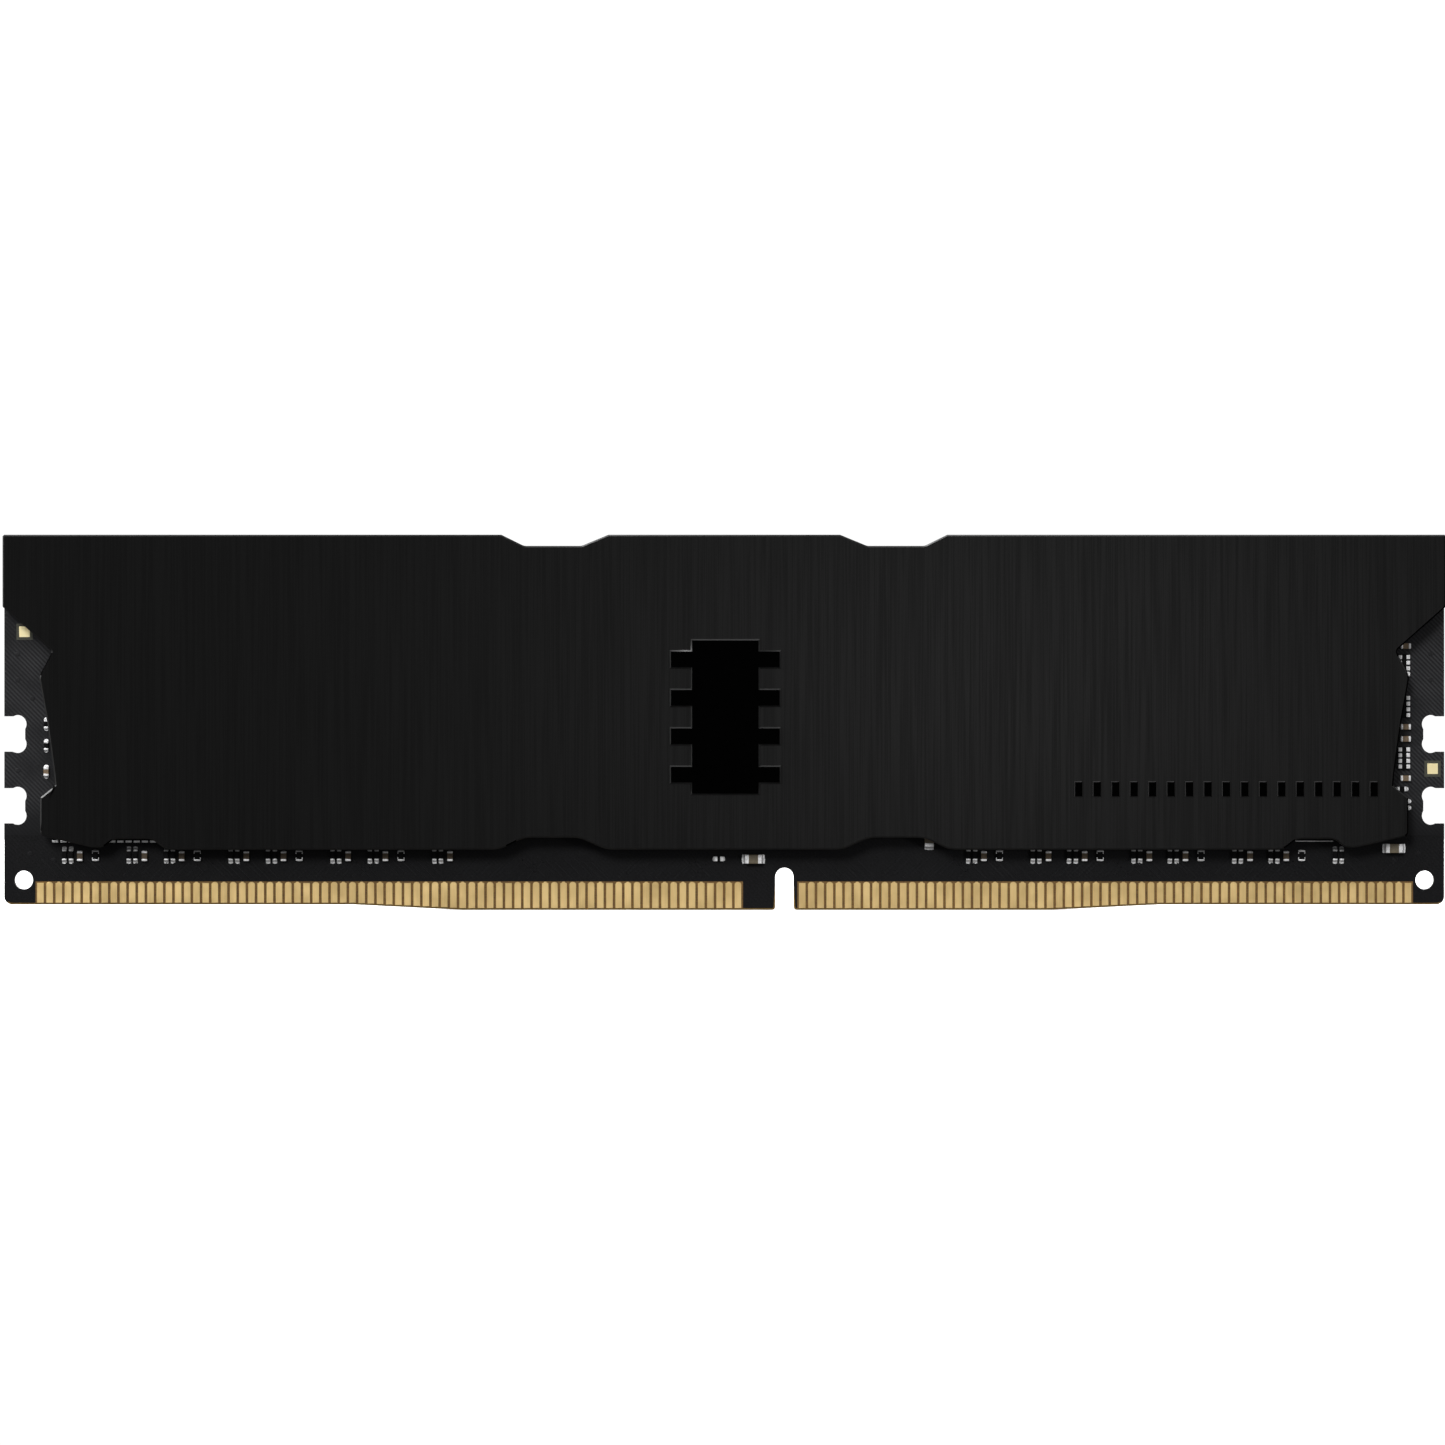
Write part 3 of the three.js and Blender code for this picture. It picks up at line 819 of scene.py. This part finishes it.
CAPACITOR = chip_shape(0.93, 0.52, 0.46, 0.21, CERAMIC_BODY, fillet=0.03)
LOBED_CAPACITOR = chip_shape(0.86, 0.48, 0.4, 0.24, CERAMIC_BODY, fillet=0.22)
RESISTOR = chip_shape(1.02, 0.41, 0.34, 0.18, GLAZE_BODY, fillet=0.3, square=7)
SHORT_RESISTOR = chip_shape(0.86, 0.42, 0.34, 0.22, GLAZE_BODY, fillet=0.2)
NEAR_RESISTOR = chip_shape(0.9, 0.46, 0.34, 0.33, GLAZE_BODY, fillet=0.12)
BRACKET_RESISTOR = chip_shape(0.98, 0.64, 0.36, 0.16, GLAZE_BODY, fillet=0.05, bracket=0.1)
BULK = chip_shape(1.55, 0.84, 0.76, 0.36, BULK_BODY, fillet=0.3, square=7)

ARRAY_LIFT = 0.03
ARRAY_HEADROOM = 0.03  # from the body's top to the CAD box's
ARRAY_BODY_INSET = 0.1
ARRAY_TERMINAL = 0.36
ARRAY_TERMINAL_HALF_WIDTH = 0.2

EEPROM_LIFT = 0.03
EEPROM_INSET = 0.02  # from the CAD box to the body
EEPROM_RIM = 0.04
EEPROM_PITCH = 0.65
EEPROM_TERMINAL = 0.3
EEPROM_TERMINAL_HALF_WIDTH = 0.13
EEPROM_TERMINAL_HEIGHT = 0.16
EEPROM_TERMINAL_RIM = 0.02

# The parts of the row under the plates' lower edge, as distances from the middle of each package
ROW_Z = 5.08
SINGLE_DROP = 0.05  # the single resistors and the rear capacitors lie a little below ROW_Z
CAPACITOR_DROP = 0.1
PAIR_OFFSETS = ((-3.9, -3.27), (2.07, 2.68))
SINGLE_OFFSET = -1.02
CAPACITOR_OFFSETS = (-2.46, 3.52)

# Parts on the front that aren't CAD nodes: name, shape, x, z, turned, slot
LONE_PARTS = [
    ("resistor_middle", NEAR_RESISTOR, -0.5, 4.72, True, "resistor_glaze"),
    ("capacitor_right_of_middle", BULK, 18.98, 6.62, False, "capacitor_ceramic"),
    ("resistor_left_column", SHORT_RESISTOR, -62.78, 17.2, False, "resistor_glaze"),
    ("resistor_right_column_1", SHORT_RESISTOR, 62.75, 11.19, True, "resistor_glaze"),
    ("resistor_right_column_2", SHORT_RESISTOR, 63.0, 10.05, True, "resistor_glaze"),
    ("resistor_right_column_3", SHORT_RESISTOR, 63.0, 9.45, True, "resistor_glaze"),
]

EDGE_PADS = 14
EDGE_PAD_Z = 6.33
EDGE_PAD_START = 4.43  # from the board's left end
EDGE_PAD_PITCH = 0.755
EDGE_PAD_WIDTH = 0.58
EDGE_PAD_HALF_HEIGHT = 0.1
PAD_THICKNESS = 0.06
PAD_RIM = 0.02
EDGE_BAR_LOW = (52.9, EDGE_PAD_Z - 0.01, 0)
EDGE_BAR_HIGH = (56.4, EDGE_PAD_Z + 0.08, PAD_THICKNESS)


def array_shape(length, width, height):
    """Four resistors in one body, its length along Y, with four terminals on each side."""
    shape = Shape()
    x, y = width / 2 - ARRAY_BODY_INSET, length / 2
    shape.block((-x, -y, ARRAY_LIFT), (x, y, height), BODY_RIM, GLAZE_BODY)
    pitch = length / 4
    for i in range(4):
        y = (i - 1.5) * pitch
        for end in (-1, 1):
            corner = (end * (width / 2 - ARRAY_TERMINAL), y - ARRAY_TERMINAL_HALF_WIDTH, 0)
            opposite = (end * (width / 2), y + ARRAY_TERMINAL_HALF_WIDTH, height + PROUD)
            shape.block(corner, opposite, TERMINAL_RIM, METAL, segments=2)
    return shape


def make_capacitors():
    for number in range(1, 16):
        lay_over(f"capacitor_front_{number}", "chip", CAPACITOR, ROW_MATERIALS)
    for place in ("centre", "right"):
        lay_over(f"bulk_capacitor_{place}", "chip", BULK, SMALL_MATERIALS,
                 turned=True)


def make_columns():
    """The parts at both ends of the front."""
    for number in (1, 2, 3):
        node = f"resistor_array_{number}"
        low, high = box(node)
        shape = array_shape(high.z - low.z, high.x - low.x, high.y - low.y - ARRAY_HEADROOM)
        lay_over(node, "chip", shape, SMALL_MATERIALS)
    for number in (1, 2, 3, 4):
        lay_over(f"side_capacitor_right_{number}", "chip", CAPACITOR, SMALL_MATERIALS,
                 turned=True)
    for number, shape in ((1, SHORT_RESISTOR), (2, LOBED_CAPACITOR)):
        lay_over(f"side_capacitor_left_{number}", "chip", shape, SMALL_MATERIALS)


def make_lone_parts():
    for name, shape, x, z, turned, slot in LONE_PARTS:
        lay_piece(name, shape, x, z, SMALL_MATERIALS, turned=turned)


def make_edge_pads():
    """Tinned pads and a tinned bar, which show in the recesses of the front plate's lower edge."""
    pads = Shape()
    for i in range(EDGE_PADS):
        x = BOARD_LOW.x + EDGE_PAD_START + i * EDGE_PAD_PITCH
        low = (x, EDGE_PAD_Z - EDGE_PAD_HALF_HEIGHT, 0)
        high = (x + EDGE_PAD_WIDTH, EDGE_PAD_Z + EDGE_PAD_HALF_HEIGHT, PAD_THICKNESS)
        pads.block(low, high, PAD_RIM, METAL)
    bar = Shape()
    bar.block(EDGE_BAR_LOW, EDGE_BAR_HIGH, PAD_RIM, METAL)
    lay_piece("edge_pads_front", pads, 0, 0, SMALL_MATERIALS)
    lay_piece("edge_bar_front", bar, 0, 0, SMALL_MATERIALS)


def make_eeprom():
    """A small leadless package with four terminals along each long side."""
    node = "spd_eeprom"
    low, high = box(node)
    width, height, top = high.x - low.x, high.z - low.z, high.y - low.y
    shape = Shape()
    x, y = width / 2 - EEPROM_INSET, height / 2 - EEPROM_INSET
    shape.block((-x, -y, EEPROM_LIFT), (x, y, top), EEPROM_RIM, MOULD, segments=2)
    for i in range(4):
        x = (i - 1.5) * EEPROM_PITCH
        for end in (-1, 1):
            corner = (x - EEPROM_TERMINAL_HALF_WIDTH, end * (height / 2 - EEPROM_TERMINAL), 0)
            opposite = (x + EEPROM_TERMINAL_HALF_WIDTH, end * height / 2, EEPROM_TERMINAL_HEIGHT)
            shape.block(corner, opposite, EEPROM_TERMINAL_RIM, METAL)
    lay_over(node, "package", shape, PACKAGE_MATERIALS)


def make_resistor_row(side_name):
    """The parts under each package that aren't CAD nodes, one piece for each package."""
    side = SIDES[side_name]
    for number in PACKAGES:
        x = middle(f"dram_{side_name}_{number}").x
        shape = Shape()
        for pair in PAIR_OFFSETS:
            for offset in pair:
                shape.stamp(RESISTOR, onto_face(x + offset, ROW_Z, side))
        shape.stamp(BRACKET_RESISTOR, onto_face(x + SINGLE_OFFSET, ROW_Z - SINGLE_DROP, side))
        if side_name == "rear":
            for offset in CAPACITOR_OFFSETS:
                shape.stamp(CAPACITOR, onto_face(x + offset, ROW_Z - CAPACITOR_DROP, side))
        name = f"row_parts_{side_name}_{number}"
        make_piece(name, shape.solid(), ROW_MATERIALS)


# ---------------------------------------------------------------- marks, traces and vias

GOLD_SQUARE, OPENING = 0, 1
MARK_MATERIALS = [MATT_GOLD, RING]
GOLD_SQUARE_RIM = 0.02
OPENING_MARGIN = 0.25
OPENING_HEIGHT = 0.015
OPENING_RIM = 0.004

TRACE_WIDTH = 0.14
TRACE_HEIGHT = 0.02
TRACE_SLOPE = 0.25  # the share of each half of a trace's width that is its sloping side
TRACE_LEAN = 1.6
TRACE_GROUP = 9  # this many traces lean the same way
TRACE_STARTS = (0.3, 0.9)  # above the contacts
TRACE_SEEDS = {"front": 11, "rear": 12}
UNTRACED = 2  # contacts at each end of a row

# Tented vias in the open strips beside the plates, as (distance from the board's end, z)
VIAS = [(1.25, 23.7), (1.25, 21.3), (1.25, 12.9), (2.6, 19.6), (2.4, 5.2), (4.6, 4.6)]
VIA_RADIUS = 0.24
VIA_TOP_RADIUS = 0.168
VIA_HEIGHT = 0.03
VIA_SEGMENTS = 20
VIA_MATERIALS = [VIA_MASK, COPPER_UNDER_MASK]


def make_fiducial(side_name, end):
    """A gold square in a slightly larger opening in the solder mask."""
    node = f"fiducial_{side_name}_{end}"
    low, high = box(node)
    half = (high.x - low.x) / 2
    wide = half + OPENING_MARGIN
    shape = Shape()
    shape.block((-wide, -wide, 0), (wide, wide, OPENING_HEIGHT), OPENING_RIM, OPENING)
    shape.block((-half, -half, 0), (half, half, high.y - low.y), GOLD_SQUARE_RIM, GOLD_SQUARE)
    lay_over(node, "mark", shape, MARK_MATERIALS, SIDES[side_name])


def ribbon(points, width, height):
    """A flat strip along points in X and Z, drawn on the XY plane."""
    rows = []
    for i, point in enumerate(points):
        before = Vector(points[max(i - 1, 0)])
        after = Vector(points[min(i + 1, len(points) - 1)])
        along = (after - before).normalized()
        across = Vector((-along.y, along.x)) * width / 2
        left, right = Vector(point) + across, Vector(point) - across
        inset = across * TRACE_SLOPE
        corners = [(left, 0), (left - inset, height), (right + inset, height), (right, 0)]
        rows.append([(corner.x, corner.y, z) for corner, z in corners])
    shape = Shape()
    shape.take(skin(rows))
    return shape


def make_traces(side_name):
    """The slanting runs of the copper traces under the mask, which fan out from the contacts."""
    chance = random.Random(TRACE_SEEDS[side_name])
    shape = Shape()
    for low, high in contact_rows(side_name):
        for i, x in list(enumerate(contact_centres(low, high)))[UNTRACED:-UNTRACED]:
            lean = TRACE_LEAN if (i // TRACE_GROUP) % 2 else -TRACE_LEAN
            start = CONTACT_TOP + chance.uniform(*TRACE_STARTS)
            points = [(x, start), (x + lean, start + TRACE_LEAN)]
            shape.stamp(ribbon(points, TRACE_WIDTH, TRACE_HEIGHT), onto_face(0, 0, SIDES[side_name]))
    make_piece(f"traces_{side_name}", shape.solid(), [COPPER_UNDER_MASK])


def make_vias(side_name):
    solid = bmesh.new()
    bmesh.ops.create_cone(
        solid, cap_ends=True, segments=VIA_SEGMENTS, radius1=VIA_RADIUS, radius2=VIA_TOP_RADIUS,
        depth=VIA_HEIGHT)
    bmesh.ops.translate(solid, vec=(0, 0, VIA_HEIGHT / 2), verts=solid.verts)
    dot = Shape()
    dot.take(solid)
    shape = Shape()
    for inset, z in VIAS:
        for x in (BOARD_LOW.x + inset, BOARD_HIGH.x - inset):
            shape.stamp(dot, onto_face(x, z, SIDES[side_name]))
    solid = shape.solid()
    paint(solid, VIA_MATERIALS,
          lambda face: VIA_MASK if face.calc_center_median().z > POUR_FOOT else COPPER_UNDER_MASK)
    make_piece(f"vias_{side_name}", solid, VIA_MATERIALS)


# ---------------------------------------------------------------- the module

make_board()
make_capacitors()
make_columns()
make_lone_parts()
make_edge_pads()
make_eeprom()
for side_name in SIDES:
    for end in ENDS:
        make_contacts(side_name, end)
        make_fiducial(side_name, end)
    make_plate(side_name)
    make_badge(side_name)
    make_packages(side_name)
    make_thermal_pad(side_name)
    make_resistor_row(side_name)
    make_traces(side_name)
    make_vias(side_name)

# ---------------------------------------------------------------- studio, in metres

FLOOR_REACH = 0.6
FLOOR_GLOW = 0.5
FILL_ABOVE = 0.31
FILL_BELOW = 0.1
FILL_RISE = (-0.4, -0.05)  # the fill grows between these heights of its direction
BACKDROP = 1.05
SPOT_RADIUS = 0.03
SENSOR_WIDTH = 36
VIEW_DISTANCE = 1.0
VIEW_WIDTH = 0.13392  # of what the picture shows at the module's mid-plane
VIEW_X = -0.00016

scene = bpy.context.scene
scene.view_settings.view_transform = "Standard"


def make_floor():
    """A pale floor, lit a little from below like a light table."""
    mesh = bpy.data.meshes.new("floor")
    low, high = -FLOOR_REACH, FLOOR_REACH
    corners = [(low, low, 0), (high, low, 0), (high, high, 0), (low, high, 0)]
    mesh.from_pydata(corners, [], [(0, 1, 2, 3)])
    m = Material("floor", grey(0.9), 0.9, specular=0.1)
    m.shader.inputs["Emission Color"].default_value = (1, 1, 1, 1)
    m.shader.inputs["Emission Strength"].default_value = FLOOR_GLOW
    m.roughness(m.spread(m.noise((8, 8, 8)), 0.86, 0.96))
    mesh.materials.append(m.data)
    floor = bpy.data.objects.new("floor", mesh)
    floor.visible_diffuse = False
    floor.visible_glossy = False
    scene.collection.objects.link(floor)


def make_world():
    """White where the camera looks. The soft fill on the module is stronger above the horizon."""
    world = bpy.data.worlds.new("studio")
    world.use_nodes = True
    scene.world = world
    tree = world.node_tree
    background = tree.nodes["Background"]
    background.inputs["Color"].default_value = (1, 1, 1, 1)
    place = tree.nodes.new("ShaderNodeTexCoord")
    split = tree.nodes.new("ShaderNodeSeparateXYZ")
    fill = tree.nodes.new("ShaderNodeMapRange")
    path = tree.nodes.new("ShaderNodeLightPath")
    level = tree.nodes.new("ShaderNodeMapRange")
    fill.inputs["From Min"].default_value = FILL_RISE[0]
    fill.inputs["From Max"].default_value = FILL_RISE[1]
    fill.inputs["To Min"].default_value = FILL_BELOW
    fill.inputs["To Max"].default_value = FILL_ABOVE
    level.inputs["To Max"].default_value = BACKDROP
    tree.links.new(place.outputs["Generated"], split.inputs["Vector"])
    tree.links.new(split.outputs["Z"], fill.inputs["Value"])
    tree.links.new(path.outputs["Is Camera Ray"], level.inputs["Value"])
    tree.links.new(fill.outputs["Result"], level.inputs["To Min"])
    tree.links.new(level.outputs["Result"], background.inputs["Strength"])


def aim(light, direction):
    """Puts a light into the scene, with its light coming from a direction."""
    light.rotation_euler = Vector(direction).to_track_quat("Z", "Y").to_euler()
    scene.collection.objects.link(light)


def make_sun(name, direction, strength, angle):
    data = bpy.data.lights.new(name, "SUN")
    data.energy = strength
    data.angle = math.radians(angle)
    aim(bpy.data.objects.new(name, data), direction)


def make_spot(name, place, target, cone, power):
    data = bpy.data.lights.new(name, "SPOT")
    data.spot_size = math.radians(cone)
    data.spot_blend = 1.0
    data.shadow_soft_size = SPOT_RADIUS
    data.energy = power
    light = bpy.data.objects.new(name, data)
    light.location = place
    aim(light, Vector(place) - Vector(target))


def make_lights():
    """Soft light from the upper left along the plates, and the same lights in front and behind."""
    make_sun("softbox_upper_left", (-0.66, 0, 0.75), strength=2.6, angle=90)
    make_sun("strip_light_upper_left", (-0.6, 0, 0.8), strength=3.0, angle=34)
    make_sun("softbox_front", (-0.23, -0.87, 0.38), strength=1.27, angle=17)
    make_sun("softbox_rear", (0.23, 0.87, 0.38), strength=1.27, angle=17)
    make_spot("softbox_right", (0.276, -0.315, 0.017), (0.024, -0.0033, 0.017), cone=10.2, power=2.2)
    make_spot(
        "softbox_rear_left", (-0.276, 0.315, 0.017), (-0.024, 0.0033, 0.017), cone=10.2, power=2.2)


def make_camera():
    """Level with the middle of the plates and square to them."""
    data = bpy.data.cameras.new("camera")
    data.sensor_width = SENSOR_WIDTH
    data.lens = SENSOR_WIDTH * VIEW_DISTANCE / VIEW_WIDTH
    camera = bpy.data.objects.new("camera", data)
    camera.location = (VIEW_X, -VIEW_DISTANCE, PLATE_TOP / 2 * MM)
    camera.rotation_euler = (math.radians(90), 0, 0)
    scene.collection.objects.link(camera)
    scene.camera = camera


make_floor()
make_world()
make_lights()
make_camera()
